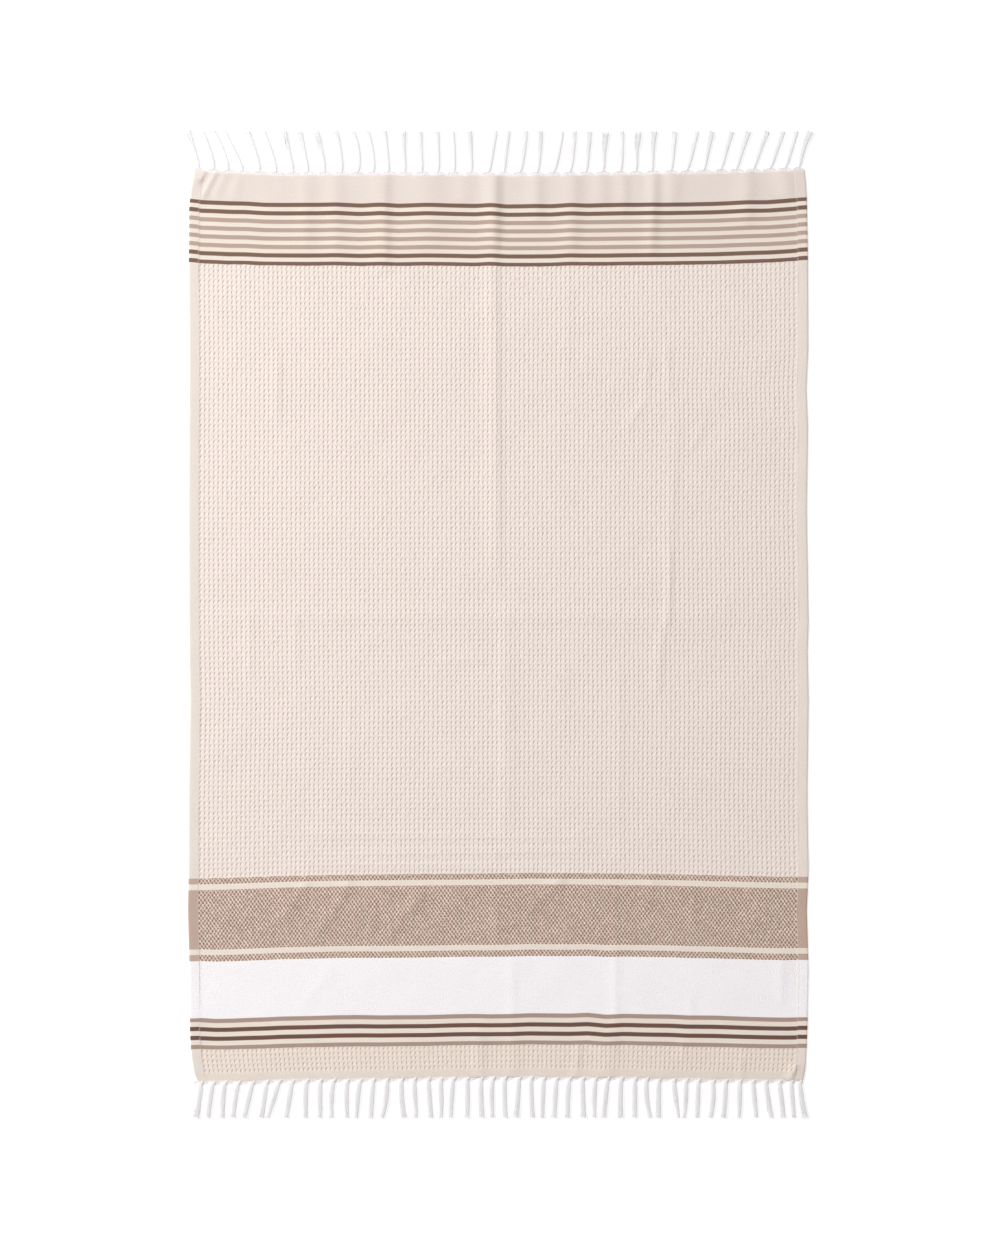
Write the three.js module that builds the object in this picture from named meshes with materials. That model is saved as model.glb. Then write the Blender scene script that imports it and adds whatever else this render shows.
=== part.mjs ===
// A hammam towel, laid out flat: one woven cloth with a narrow doubled hem down each long side,
// and a knotted warp fringe at each end. Millimetres, +Z up, +X across the cloth, +Y along it.
import * as THREE from "three";

// Driving dimensions.
const CLOTH_WIDTH = 1004; // hem to hem
const CLOTH_THICKNESS = 2.0; // waffle weave, pressed by its own weight
const HEM_WIDTH = 17;
const HEM_THICKNESS = 3.0; // the selvedge turned over and stitched
const HEM_STEP = 2; // how far the hem's inner edge slopes down to the cloth
const EDGE_ROUNDING = 1.5; // how far in from an edge the cloth has its whole thickness
const EDGE_SHARE = 0.55; // thickness left at the very edge
const ROOT_GAP = 0.5; // between the cloth's end and the strip that holds the fringe
const ROOT_STRIP = 2.4; // width of that strip
const ROOT_HEIGHT = 1.6;
const TOP_TIP = 800; // from the middle of the cloth to the tips of the strands
const BOTTOM_TIP = 797;
const LIFT_FREE = 0.4; // a crease lower than this leaves the cloth lying on the surface
const COLUMN_PITCH = 23; // the cloth's grid
const COLOURS = { cloth: 0xe6d8cb, yarn: 0xf3f1f0 };

// Gives each row of numbers the names of its columns.
function table(columns, rows) {
  return rows.map((row) => Object.fromEntries(columns.map((name, i) => [name, row[i]])));
}

// How far each long side lies inside a straight edge, going up the towel.
const SIDES = table(["y", "left", "right"], [
  [-742, 18, 9.5], // the corners of the bottom end are rounded
  [-737, 15, 8.5],
  [-732, 12, 7.3],
  [-727, 10, 6.2],
  [-719, 8, 4.6],
  [-709, 6.4, 3.5],
  [-696, 4.6, 2.8],
  [-685, 3.6, 2.2],
  [-650, 2, 1],
  [-557, 1.5, -1],
  [-460, -1, 2],
  [-395, 0, -1],
  [-280, 0, 1],
  [-120, 2.5, -1],
  [-40, 1, 0.5],
  [10, 0.5, -1],
  [190, 0, 2],
  [320, 0.5, 0],
  [385, 1, 2.5],
  [450, 1, -0.5],
  [575, 0, 0],
  [675, 0.8, 1.5],
  [692, 2, 2],
  [708, 3.8, 2.6],
  [721, 5.6, 3.6],
  [732, 8.5, 4.6],
  [740, 10.4, 5.8],
]);

// Where the cloth's two ends lie, going across: the weft bows a little towards the middle.
const ENDS = table(["x", "bottom", "top"], [
  [-502, -739.5, 739.5],
  [-445, -738, 737],
  [-385, -737, 735],
  [-325, -734.5, 734],
  [-250, -733.5, 733.7],
  [-150, -732, 733.2],
  [-20, -730.5, 732.2],
  [45, -730, 732.2],
  [120, -731.5, 734],
  [200, -732, 735.6],
  [275, -734, 737],
  [350, -735.2, 738.6],
  [430, -736, 740],
  [502, -736.8, 743],
]);

// Folds left by storing the towel, and puckers from the fringe. Each is a long soft ridge centred on
// x, y; turn is in degrees clockwise from +Y. left and right are the widths of its two sides, from
// its crest to its foot, seen with the crease upright.
const CREASES = table(["x", "y", "length", "turn", "left", "right", "height"], [
  [-5, 425, 750, -0.7, 24, 14, 2.3], // lengthwise fold, upper half
  [10, -160, 400, 0, 16, 26, 1.3], // the same fold, fainter below the middle
  [-42, 16, 960, 90, 22, 20, 1.2], // crosswise fold
  [-357, 391, 140, 0, 18, 12, 1.2],
  [-402, -32, 130, 0, 16, 14, 1.1],
  [-328, -25, 110, 0, 16, 14, 1.1],
  [113, 488, 200, 0, 16, 14, 0.8],
  [196, -210, 340, 0, 16, 14, 0.9],
  [275, 230, 350, 3, 18, 14, 1.0],
  [277, 60, 150, 2, 14, 12, 1.5],
  [262, -50, 130, 5, 16, 14, 1.0],
  [-60, -54, 90, 90, 14, 14, 0.8],
  [-90, -355, 520, 90, 18, 18, 0.8],
  [80, -432, 100, 46, 18, 12, 1.2],
  [190, -560, 300, 0, 14, 12, 0.9],
  [-469, 715, 60, 27, 10, 9, 2.2], // short folds in the corner of the heading
  [-449, 716, 60, 25, 12, 12, 1.4],
  [463, 720, 60, -19, 16, 10, 1.6],
  [-321, 660, 130, 0, 14, 12, 0.9],
  [-269, 650, 150, 0, 14, 12, 0.9],
  [-214, 645, 130, 0, 14, 12, 0.9],
  [-183, 665, 200, 0, 16, 11, 1.5],
  [-127, 660, 130, 0, 14, 12, 0.9],
  [61, 714, 70, 0, 12, 10, 1.4],
  [122, 690, 200, 4.5, 18, 11, 1.5],
  [186, 714, 70, 2, 12, 10, 1.3],
  [249, 685, 210, 3, 14, 11, 1.7],
  [401, 712, 70, 3, 12, 10, 1.4],
  [489, -722, 50, 10, 8, 9, 1.7], // tuck in the corner of the bottom end
  [-31, -690, 100, 0, 12, 12, 1.2],
  [175, -682, 90, 0, 12, 10, 1.1],
  [299, -676, 80, 0, 12, 10, 1.0],
]);

// One row for each strand: where its root and its tip lie across the towel, how far its middle
// bows from a straight line, and how wide its frayed tip spreads.
const TOP_STRANDS = table(["root", "tip", "bow", "spread"], [
  [-483, -498, 0, 12], [-459, -475, 2, 9], [-436, -457, 3, 9], [-411, -440, 0, 9],
  [-385, -403, 2, 10], [-358, -376, 1, 8], [-331, -344, 0, 12], [-306, -319, 0, 12],
  [-279, -292, 1, 13], [-251, -261, 2, 10], [-226, -235, 6, 10], [-200, -211, 3, 9],
  [-175, -183, 0, 10], [-148, -151, -2, 11], [-121, -125, -1, 11], [-95, -98, 0, 9],
  [-69, -73, 0, 9], [-41, -46, 0, 11], [-14, -3, 0, 9], [11, 18, -1, 9],
  [37, 46, 1, 10], [65, 69, 1, 11], [91, 105, 1, 8], [118, 124, 1, 11],
  [144, 149, 0, 11], [172, 175, -1, 15], [200, 201, 1, 10], [226, 228, -2, 15],
  [252, 254, -2, 12], [282, 287, 0, 11], [308, 323, 0, 9], [336, 347, -1, 11],
  [363, 379, -1, 11], [388, 406, -1, 12], [416, 437, -2, 11], [442, 462, 0, 10],
  [468, 484, 0, 9], [490, 506, -3, 13],
]);
const BOTTOM_STRANDS = table(["root", "tip", "bow", "spread"], [
  [-481, -490, 2, 14], [-461, -469, -1, 9], [-442, -446, -1, 9], [-420, -429, -1, 10],
  [-397, -411, 0, 10], [-374, -383, 0, 11], [-354, -373, 0, 7], [-333, -343, 0, 9],
  [-310, -311, -1, 9], [-288, -288, 0, 9], [-266, -269, -2, 8], [-244, -244, -1, 9],
  [-223, -229, -1, 8], [-202, -206, 0, 10], [-180, -188, 3, 9], [-156, -151, -2, 11],
  [-136, -132, 0, 8], [-113, -108, 0, 10], [-93, -92, 1, 8], [-72, -76, -1, 9],
  [-50, -50, 1, 10], [-27, -25, -1, 11], [-8, -8, -2, 9], [11, 13, -1, 10],
  [34, 29, 1, 12], [54, 57, -1, 10], [74, 72, 0, 9], [95, 91, 0, 10],
  [116, 113, -1, 10], [137, 139, 0, 11], [158, 157, -1, 8], [178, 171, 0, 10],
  [200, 199, -1, 11], [222, 222, 0, 10], [241, 248, -3, 9], [261, 260, 0, 11],
  [285, 294, -1, 6.5], [305, 302, 1, 6.5], [325, 323, 0, 9], [348, 344, 3, 9],
  [369, 365, 1, 11], [392, 391, 0, 8], [413, 419, 0, 8], [434, 444, -1, 9],
  [456, 463, 0, 10], [475, 480, 0, 9], [489, 498, -1, 12],
]);

// Sections of a strand, from its root to its tip: how far out it is, in millimetres past the strip
// or as a share of the rest of the way, how wide and how high. A knot is the fat section.
const PLAIN_SECTIONS = table(["out", "share", "width", "height"], [
  [0, 0, 14, ROOT_HEIGHT],
  [5, 0, 6.6, 3.2],
  [6, 0.5, 8.8, 3.6],
]);
const KNOTTED_SECTIONS = table(["out", "share", "width", "height"], [
  [0, 0, 14, ROOT_HEIGHT],
  [5, 0, 7.4, 3.2],
  [7.5, 0, 9.6, 4.8],
  [10.5, 0, 8.2, 3.6],
  [10.5, 0.5, 8.8, 3.6],
]);
const TIP_HEIGHT = 2.6;
const CROWN = 0.62; // a strand's flat top, as a share of its width

// Reads a column of a table at a place between two of its rows.
function readTable(rows, key, place, column) {
  const next = rows.findIndex((row) => row[key] >= place);
  if (next <= 0) return (next === 0 ? rows[0] : rows[rows.length - 1])[column];
  const a = rows[next - 1];
  const b = rows[next];
  return THREE.MathUtils.mapLinear(place, a[key], b[key], a[column], b[column]);
}

// The height of all creases together at a point.
function creaseHeight(x, y) {
  let height = 0;
  for (const crease of CREASES) {
    const turn = THREE.MathUtils.degToRad(crease.turn);
    const dx = x - crease.x;
    const dy = y - crease.y;
    const along = (dx * Math.sin(turn) + dy * Math.cos(turn)) / (crease.length / 2);
    const across = dx * Math.cos(turn) - dy * Math.sin(turn);
    const aside = across / (across < 0 ? crease.left : crease.right);
    if (Math.abs(along) < 1 && Math.abs(aside) < 2)
      height += crease.height * (1 - along ** 4) * Math.exp(-2 * aside ** 2);
  }
  return height;
}

// Evenly spread values from a to b, both included, no further apart than pitch.
function spread(a, b, pitch) {
  const count = Math.ceil((b - a) / pitch);
  return Array.from({ length: count + 1 }, (_, i) => a + ((b - a) * i) / count);
}

// Collects triangles of one closed body.
class Body {
  constructor() {
    this.positions = [];
  }
  quad(a, b, c, d) {
    for (const point of [a, b, c, a, c, d]) this.positions.push(...point);
  }
  geometry() {
    const geometry = new THREE.BufferGeometry();
    geometry.setAttribute("position", new THREE.Float32BufferAttribute(this.positions, 3));
    geometry.computeVertexNormals();
    return geometry;
  }
}

// The cloth: a grid of points that follows the sides and ends, with an upper and a lower face.
function clothGeometry() {
  const half = CLOTH_WIDTH / 2;
  const inner = half - HEM_WIDTH;
  const leftToMiddle = [-half, -half + EDGE_ROUNDING, -inner];
  const field = spread(-inner + HEM_STEP, inner - HEM_STEP, COLUMN_PITCH);
  const columns = [...leftToMiddle, ...field, ...leftToMiddle.map((x) => -x).reverse()];
  // Rows as distances from the middle of the cloth, closer together at the ends and the fold.
  const length = ENDS[0].top - ENDS[0].bottom;
  const rows = [
    0, EDGE_ROUNDING, 9, 20, 36, 58, 84,
    ...spread(125, length / 2 - 20, 50),
    ...[-4, 8, 18, 28, 40, 62].map((y) => length / 2 + y),
    ...spread(length / 2 + 105, length - 165, 50),
    ...[132, 105, 80, 58, 40, 25, 11, EDGE_ROUNDING, 0].map((y) => length - y),
  ].map((distance) => distance / length);

  const points = rows.map((share, row) =>
    columns.map((straight, column) => {
      const atEnd = (x) =>
        THREE.MathUtils.lerp(
          readTable(ENDS, "x", x, "bottom"),
          readTable(ENDS, "x", x, "top"),
          share,
        );
      const side = straight < 0 ? "left" : "right";
      const inset = readTable(SIDES, "y", atEnd(straight), side);
      const x = straight - (inset * straight) / half;
      const y = atEnd(x);
      const crease = creaseHeight(x, y);
      const atHem = Math.abs(straight) >= inner;
      const atEdge =
        row === 0 || row === rows.length - 1 || column === 0 || column === columns.length - 1;
      const thickness = (atHem ? HEM_THICKNESS : CLOTH_THICKNESS) * (atEdge ? EDGE_SHARE : 1);
      const under = Math.max(0, crease - LIFT_FREE);
      return { upper: [x, y, crease + thickness], lower: [x, y, under] };
    }),
  );

  const body = new Body();
  for (let r = 0; r + 1 < rows.length; r++)
    for (let c = 0; c + 1 < columns.length; c++) {
      const [a, b, d, e] = [
        points[r][c], points[r][c + 1], points[r + 1][c + 1], points[r + 1][c],
      ];
      body.quad(a.upper, b.upper, d.upper, e.upper);
      body.quad(e.lower, d.lower, b.lower, a.lower);
    }
  const rim = [
    ...points[0],
    ...points.slice(1).map((row) => row[row.length - 1]),
    ...points[points.length - 1].slice(0, -1).reverse(),
    ...points.slice(1, -1).map((row) => row[0]).reverse(),
  ];
  rim.forEach((a, i) => {
    const b = rim[(i + 1) % rim.length];
    body.quad(a.lower, b.lower, b.upper, a.upper);
  });
  return body.geometry();
}

// A fringe: a narrow strip along the cloth's end with the strands grown from its outer edge.
// outward is 1 for the top end and -1 for the bottom end.
function fringeGeometry(strands, sections, end, outward, tipDistance) {
  const body = new Body();
  // The bottom fringe is the mirror image of a top one, so its faces are wound the other way.
  const quad = (a, b, c, d) => (outward > 0 ? body.quad(a, b, c, d) : body.quad(d, c, b, a));
  const endAt = (x) => readTable(ENDS, "x", x, end) + outward * ROOT_GAP;
  const rootWidth = sections[0].width;

  // Four corners of the strip at one place across the towel.
  const stripAt = (x) => {
    const inner = endAt(x);
    const outer = inner + outward * ROOT_STRIP;
    return {
      innerLow: [x, inner, 0], outerLow: [x, outer, 0],
      innerHigh: [x, inner, ROOT_HEIGHT], outerHigh: [x, outer, ROOT_HEIGHT],
    };
  };
  const stations = strands.flatMap(({ root }) =>
    [root - rootWidth / 2, root + rootWidth / 2].map(stripAt),
  );
  stations.forEach((a, i) => {
    const b = stations[i + 1];
    if (!b) return;
    quad(a.innerHigh, b.innerHigh, b.outerHigh, a.outerHigh);
    quad(a.outerLow, b.outerLow, b.innerLow, a.innerLow);
    quad(a.innerLow, b.innerLow, b.innerHigh, a.innerHigh);
    if (i % 2 === 1) quad(b.outerLow, a.outerLow, a.outerHigh, b.outerHigh);
  });
  const first = stations[0];
  const last = stations[stations.length - 1];
  quad(first.outerLow, first.innerLow, first.innerHigh, first.outerHigh);
  quad(last.innerLow, last.outerLow, last.outerHigh, last.innerHigh);

  strands.forEach((strand, i) => {
    const left = stations[2 * i];
    const right = stations[2 * i + 1];
    let ring = [left.outerLow, right.outerLow, right.outerHigh, left.outerHigh];
    const start = endAt(strand.root) + outward * ROOT_STRIP;
    const tip = { out: 0, share: 1, width: strand.spread, height: TIP_HEIGHT };
    for (const section of [...sections.slice(1), tip]) {
      const reach = outward * tipDistance - start - outward * section.out;
      const y = section.share === 1
        ? outward * tipDistance
        : start + outward * section.out + section.share * reach;
      const share = (y - start) / (outward * tipDistance - start);
      const bow = strand.bow * 4 * share * (1 - share);
      const x = THREE.MathUtils.lerp(strand.root, strand.tip, share) + bow;
      const low = section.width / 2;
      const high = low * CROWN;
      const next = [
        [x - low, y, 0], [x + low, y, 0],
        [x + high, y, section.height], [x - high, y, section.height],
      ];
      for (let k = 0; k < 4; k++) {
        const m = (k + 1) % 4;
        quad(ring[m], ring[k], next[k], next[m]);
      }
      ring = next;
    }
    quad(ring[1], ring[0], ring[3], ring[2]);
  });
  return body.geometry();
}

// One named mesh with a matt finish.
function matt(name, geometry, color) {
  const material = new THREE.MeshStandardMaterial({ color, roughness: 0.95, metalness: 0 });
  const mesh = new THREE.Mesh(geometry, material);
  mesh.name = name;
  return mesh;
}

const towel = new THREE.Group();
towel.add(
  matt("cloth", clothGeometry(), COLOURS.cloth),
  matt(
    "fringe_top",
    fringeGeometry(TOP_STRANDS, PLAIN_SECTIONS, "top", 1, TOP_TIP),
    COLOURS.yarn,
  ),
  matt(
    "fringe_bottom",
    fringeGeometry(BOTTOM_STRANDS, KNOTTED_SECTIONS, "bottom", -1, BOTTOM_TIP),
    COLOURS.yarn,
  ),
);

// The origin lies on the surface, under the middle of the whole towel with its fringes.
const middle = new THREE.Box3().setFromObject(towel).getCenter(new THREE.Vector3());
towel.position.set(-middle.x, -middle.y, 0);

export default towel;
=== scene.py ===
"""A hammam towel laid out flat on a pale floor: a striped cloth with a waffle field, a
bird's-eye band and a crepe band, a stitched hem down each side and a knotted fringe at each end.

Lengths in the tables are millimetres on the cloth; MM turns them into Blender's metres.
"""

import math

import bpy
import numpy as np
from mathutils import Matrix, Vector


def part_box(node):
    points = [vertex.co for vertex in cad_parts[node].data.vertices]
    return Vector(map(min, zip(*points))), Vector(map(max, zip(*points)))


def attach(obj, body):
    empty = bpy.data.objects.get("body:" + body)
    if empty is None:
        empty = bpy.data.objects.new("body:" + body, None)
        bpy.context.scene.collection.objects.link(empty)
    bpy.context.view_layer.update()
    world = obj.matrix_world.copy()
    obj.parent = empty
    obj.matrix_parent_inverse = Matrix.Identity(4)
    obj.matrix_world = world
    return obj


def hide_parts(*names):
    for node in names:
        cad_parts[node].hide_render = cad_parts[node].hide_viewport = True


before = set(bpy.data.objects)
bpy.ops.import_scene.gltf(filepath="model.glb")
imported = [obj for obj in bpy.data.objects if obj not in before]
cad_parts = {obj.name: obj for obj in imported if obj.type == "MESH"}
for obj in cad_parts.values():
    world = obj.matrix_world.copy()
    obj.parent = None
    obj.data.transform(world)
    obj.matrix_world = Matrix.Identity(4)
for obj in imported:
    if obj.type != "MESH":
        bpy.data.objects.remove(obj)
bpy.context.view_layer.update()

MM = 0.001

# ---------------------------------------------------------------- the cloth's cut

CLOTH_WIDTH = 1004
HEM_WIDTH = 17
CLOTH_THICKNESS = 1.7
HEM_THICKNESS = 2.8
THINNEST = 0.35  # the least height of the upper face above the floor
END_SHARE = 0.6  # how much of its thickness the cloth keeps at its two ends
TOP_TIP = 800  # from the middle of the cloth to the tips of the strands
BOTTOM_TIP = 797
SCALLOP = 0.8  # the top edge's waves between the strands, half their height
HALF = CLOTH_WIDTH / 2
FIELD = HALF - HEM_WIDTH  # from the middle to a hem's inner edge

# The cloth's bands from the top end down: the weave of each, how long it is and how many rows of
# points it has. A waffle band has two rows of points for each row of cells.
BANDS = [
    # weave, length, rows
    ("heading", 47.2, 13),
    ("top_stripes", 100.8, 30),
    ("waffle", 983.9, 238),
    ("eyelet_stripe", 9.3, 2),
    ("plain_line", 9.3, 2),
    ("birdseye", 96.9, 14),
    ("plain_line", 9.1, 2),
    ("eyelet_stripe", 10.2, 2),
    ("crepe", 93.0, 18),
    ("bottom_stripes", 49.6, 14),
    ("end_waffle", 39.4, 10),
    ("plain_end", 13.5, 4),
]
CLOTH_LENGTH = sum(length for _, length, _ in BANDS)
CELLS_ACROSS = 131

# From the start of one weft stripe to the start of the next, and how wide a stripe is.
STRIPE_PITCH = {"top_stripes": 13.52, "bottom_stripes": 14.4}
STRIPE_WIDTH = {"top_stripes": 6.8, "bottom_stripes": 6.9}


def band_start(weave):
    """How far down the cloth the first band of this weave starts."""
    names = [name for name, _, _ in BANDS]
    return sum(length for _, length, _ in BANDS[: names.index(weave)])


def cell_length(weave):
    """The length of the cells in a waffle band."""
    return next(length / (rows / 2) for name, length, rows in BANDS if name == weave)


def columns_of(names, rows):
    """A table as one array for each of its columns."""
    return dict(zip(names, np.array(rows, float).T))


def read(table, key, column, places):
    """A table's column, read at places that its key column gives."""
    return np.interp(places, table[key], table[column])


# A hem's section, from the cloth's edge inwards: the share of the hem's extra thickness that is
# there, and the share of the cloth's own.
HEM_SECTION = columns_of(("from_edge", "extra", "own"), [
    (0, 0.45, 0.5), (0.8, 0.85, 0.9), (2, 1.05, 1), (3.4, 1.1, 1), (13.5, 0.45, 1),
    (14.5, 0.4, 1), (16.2, 0.28, 1), (17.4, 0, 1),
])

# How far each long side lies inside a straight edge, going up the towel.
SIDES = columns_of(("y", "left", "right"), [
    (-742, 18, 9.5), (-737, 15, 8.5), (-732, 12, 7.3), (-727, 10, 6.2), (-719, 8, 4.6),
    (-709, 6.4, 3.5), (-696, 4.6, 2.8), (-685, 3.6, 2.2), (-650, 2, 1), (-557, 1.5, -1),
    (-460, -1, 2), (-395, 0, -1), (-280, 0, 1), (-120, 2.5, -1), (-40, 1, 0.5),
    (10, 0.5, -1), (190, 0, 2), (320, 0.5, 0), (385, 1, 2.5), (450, 1, -0.5),
    (575, 0, 0), (675, 0.8, 1.5), (692, 2, 2), (708, 3.8, 2.6), (721, 5.6, 3.6),
    (732, 8.5, 4.6), (740, 10.4, 5.8),
])

# Where the cloth's two ends lie, going across.
ENDS = columns_of(("x", "bottom", "top"), [
    (-502, -739.5, 738.5), (-445, -738.5, 735.8), (-385, -737.8, 733), (-325, -736, 731.8),
    (-250, -735, 732.2), (-150, -733.5, 732.2), (-20, -731.8, 731.6), (45, -731, 731.2),
    (120, -732.3, 731.8), (200, -732, 732.6), (275, -734, 734), (350, -735.8, 735.8),
    (430, -736.6, 737.2), (502, -737, 740),
])

# How far the weft bows up from a straight line: along the first and the last of the top
# stripes, along the bird's-eye band and along the bottom stripes.
WEFT_BOW = columns_of(("x", "first", "last", "band", "lower"), [
    (-496, 8.1, 6.3, -8.6, -7.0), (-482, 6.3, 4.7, -8.5, -6.3), (-459, 5.5, 3.9, -8.2, -7.8),
    (-438, 4.5, 2.9, -7.6, -7.5), (-409, 4.1, 2.6, -6.6, -6.3), (-380, 2.1, 1.3, -5.5, -5.3),
    (-351, 1.8, 1.0, -4.4, -3.9), (-307, 1.9, 0.8, -3.4, -3.2), (-263, 2.4, 1.3, -2.5, -1.8),
    (-224, 0.8, 0.3, -2.1, -1.5), (-192, 2.1, 0.8, -1.8, -2.1), (-161, 0.5, 0.2, -1.4, -1.8),
    (-117, 1.8, 1.0, -0.9, -1.6), (-73, 0.8, 0.5, -0.6, -0.2), (-38, 0.2, -0.3, -0.3, 0.3),
    (-14, 1.3, 0.8, -0.1, -0.3), (14, -0.6, -0.5, 0.3, 0.0), (51, -0.2, -0.6, 0.9, 1.5),
    (87, -0.2, -0.2, 0.8, 1.1), (116, 1.5, 1.0, 0.7, 0.9), (145, 0.8, 0.8, 0.4, 2.2),
    (175, 1.5, 0.8, 0.1, -1.0), (204, 1.9, 1.3, -0.2, 0.5), (238, 2.1, 1.6, -0.6, -0.3),
    (277, 2.1, 1.9, -1.3, -0.6), (306, 2.6, 2.4, -2.0, -2.1), (350, 3.6, 2.9, -3.1, -2.4),
    (408, 6.0, 4.9, -4.4, -4.5), (437, 6.3, 5.8, -5.1, -5.3), (466, 8.3, 7.3, -5.6, -5.7),
    (496, 10.7, 9.7, -5.6, -5.0),
])

# Folds left by storing the towel, and puckers from the fringe: long soft ridges, or troughs
# where the height is below zero, centred on x, y. turn is clockwise from the towel's length;
# left and right are the widths of the two sides of a crease that stands upright.
CREASES = [
    # x, y, length, turn, left, right, height
    (-5, 425, 750, -0.7, 24, 12, 2.1),  # the lengthwise fold, its upper half
    (10, -160, 400, 0, 14, 26, 1.2),  # the same fold below the middle
    (22, -605, 160, 0, 12, 14, 0.9),
    (-3, -460, 90, 0, 10, 10, 0.8),
    (-42, 16, 960, 90, 20, 22, 1.0),  # the crosswise fold
    (-357, 391, 140, 0, 18, 9, 0.9),
    (113, 488, 200, 0, 14, 9, 0.4),
    (280, 180, 160, 3, 18, 12, 0.9),
    (286, 290, 170, 3, 18, 14, 0.5),
    (277, 60, 150, 2, 12, 8, 1.5),
    (262, -50, 130, 5, 14, 12, 1.0),
    (275, 420, 90, -4, 10, 10, 0.9),
    (225, 347, 80, 32, 12, 10, 0.8),
    (323, 308, 60, 27, 12, 10, 0.7),
    (240, 405, 70, 8, 10, 9, 0.7),
    (-402, -32, 130, 0, 14, 12, 0.7),
    (-328, -25, 110, 0, 14, 10, 0.6),
    (-240, -190, 160, 0, 16, 12, 0.5),
    (105, -88, 80, 8, 18, 18, 0.5),
    (196, -210, 340, 0, 16, 11, 0.6),
    (-60, -54, 90, 90, 12, 12, 0.8),
    (-90, -340, 520, 91, 12, 10, 0.7),  # ripples above the bird's-eye band
    (-60, -366, 480, 89, 10, 10, 0.8),
    (-110, -388, 430, 91, 9, 9, 0.7),
    (80, -432, 100, 46, 16, 9, 2.0),  # slanting folds across the bird's-eye band
    (-331, -447, 100, 35, 16, 11, 2.0),
    (-260, -450, 100, 25, 15, 11, 2.0),
    (-286, -484, 60, 20, 10, 9, 1.3),
    (-146, -463, 110, 40, 17, 12, 1.9),
    (-205, -484, 60, 15, 10, 9, 1.2),
    (245, -436, 70, 10, 14, 11, 1.3),
    (318, -474, 80, 0, 12, 10, 1.4),
    (190, -560, 300, 0, 12, 9, 1.0),
    (-298, -590, 110, 38, 10, 10, 0.5),
    (312, -640, 90, 0, 10, 9, 0.8),
    (458, -575, 90, 0, 10, 10, 0.9),
    (-30, -690, 110, 0, 18, 13, 1.4),  # puckers at the bottom end
    (24, -695, 100, 0, 20, 18, 1.2),
    (128, -705, 70, 5, 12, 9, 1.4),
    (175, -695, 110, 0, 26, 22, 1.5),
    (299, -672, 70, 0, 10, 9, 1.0),
    (395, -716, 45, 5, 10, 8, 1.1),
    (478, -724, 34, 16, 12, 4, 3.4),  # tuck in the right corner
    (492, -722, 40, 8, 6, 6, 1.2),
    (-481, -733, 26, -48, 5, 5, -1.3),  # small fold in the left corner
    (-482, 724, 36, 42, 10, 3.5, 2.6),  # the folded top left corner
    (-468, 715, 60, 27, 7, 6, 2.8),
    (-449, 718, 60, 25, 10, 12, 1.3),
    (-425, 712, 60, 15, 12, 14, 0.8),
    (-312, 670, 150, 0, 19, 19, 1.6),  # puckers in the heading and the top stripes
    (-263, 670, 160, 0, 22, 20, 1.9),
    (-185, 665, 200, 0, 30, 15, 3.2),
    (-114, 680, 150, 0, 40, 40, 2.6),
    (-56, 712, 70, 0, 22, 22, 1.5),
    (-4, 690, 160, 0, 24, 13, 3.2),
    (62, 705, 110, 0, 20, 16, 2.3),
    (120, 680, 190, 2, 28, 20, 2.9),
    (166, 712, 70, 0, 20, 20, 1.6),
    (204, 705, 90, 0, 18, 12, 1.6),
    (251, 690, 200, 2, 16, 13, 3.0),
    (282, 710, 80, 0, 20, 20, 2.0),
    (403, 700, 120, 2, 26, 20, 2.5),
    (466, 720, 70, -10, 24, 20, 2.4),
]
LIFT_FREE = 0.4  # a crease lower than this leaves the cloth lying on the floor

# One row for each strand of the fringes: where its root and its tip lie across the towel, how
# far its middle bows from a straight line, and how wide its tip spreads.
TOP_STRANDS = [
    (-483, -504, 0, 12), (-459, -481, 2, 9), (-436, -463, 3, 9), (-411, -446, 0, 9),
    (-385, -408, 2, 10), (-358, -381, 1, 8), (-331, -348, 0, 12), (-307, -323, 0, 12),
    (-280, -296, 1, 13), (-253, -264, 2, 10), (-228, -238, 6, 10), (-202, -213, 3, 9),
    (-177, -185, 0, 10), (-150, -153, -2, 11), (-123, -127, -1, 11), (-97, -99, 0, 9),
    (-71, -74, 0, 9), (-43, -47, 0, 11), (-16, -4, 0, 9), (9, 17, -1, 9), (35, 45, 1, 10),
    (63, 68, 1, 11), (89, 104, 1, 8), (116, 123, 1, 11), (142, 148, 0, 11), (170, 174, -1, 15),
    (198, 200, 1, 10), (224, 227, -2, 15), (250, 253, -2, 12), (280, 286, 0, 11),
    (305, 323, 0, 9), (333, 347, -1, 11), (360, 379, -1, 11), (385, 406, -1, 12),
    (413, 437, -2, 11), (439, 462, 0, 10), (464, 484, 0, 9), (487, 506, -3, 13),
]
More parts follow.
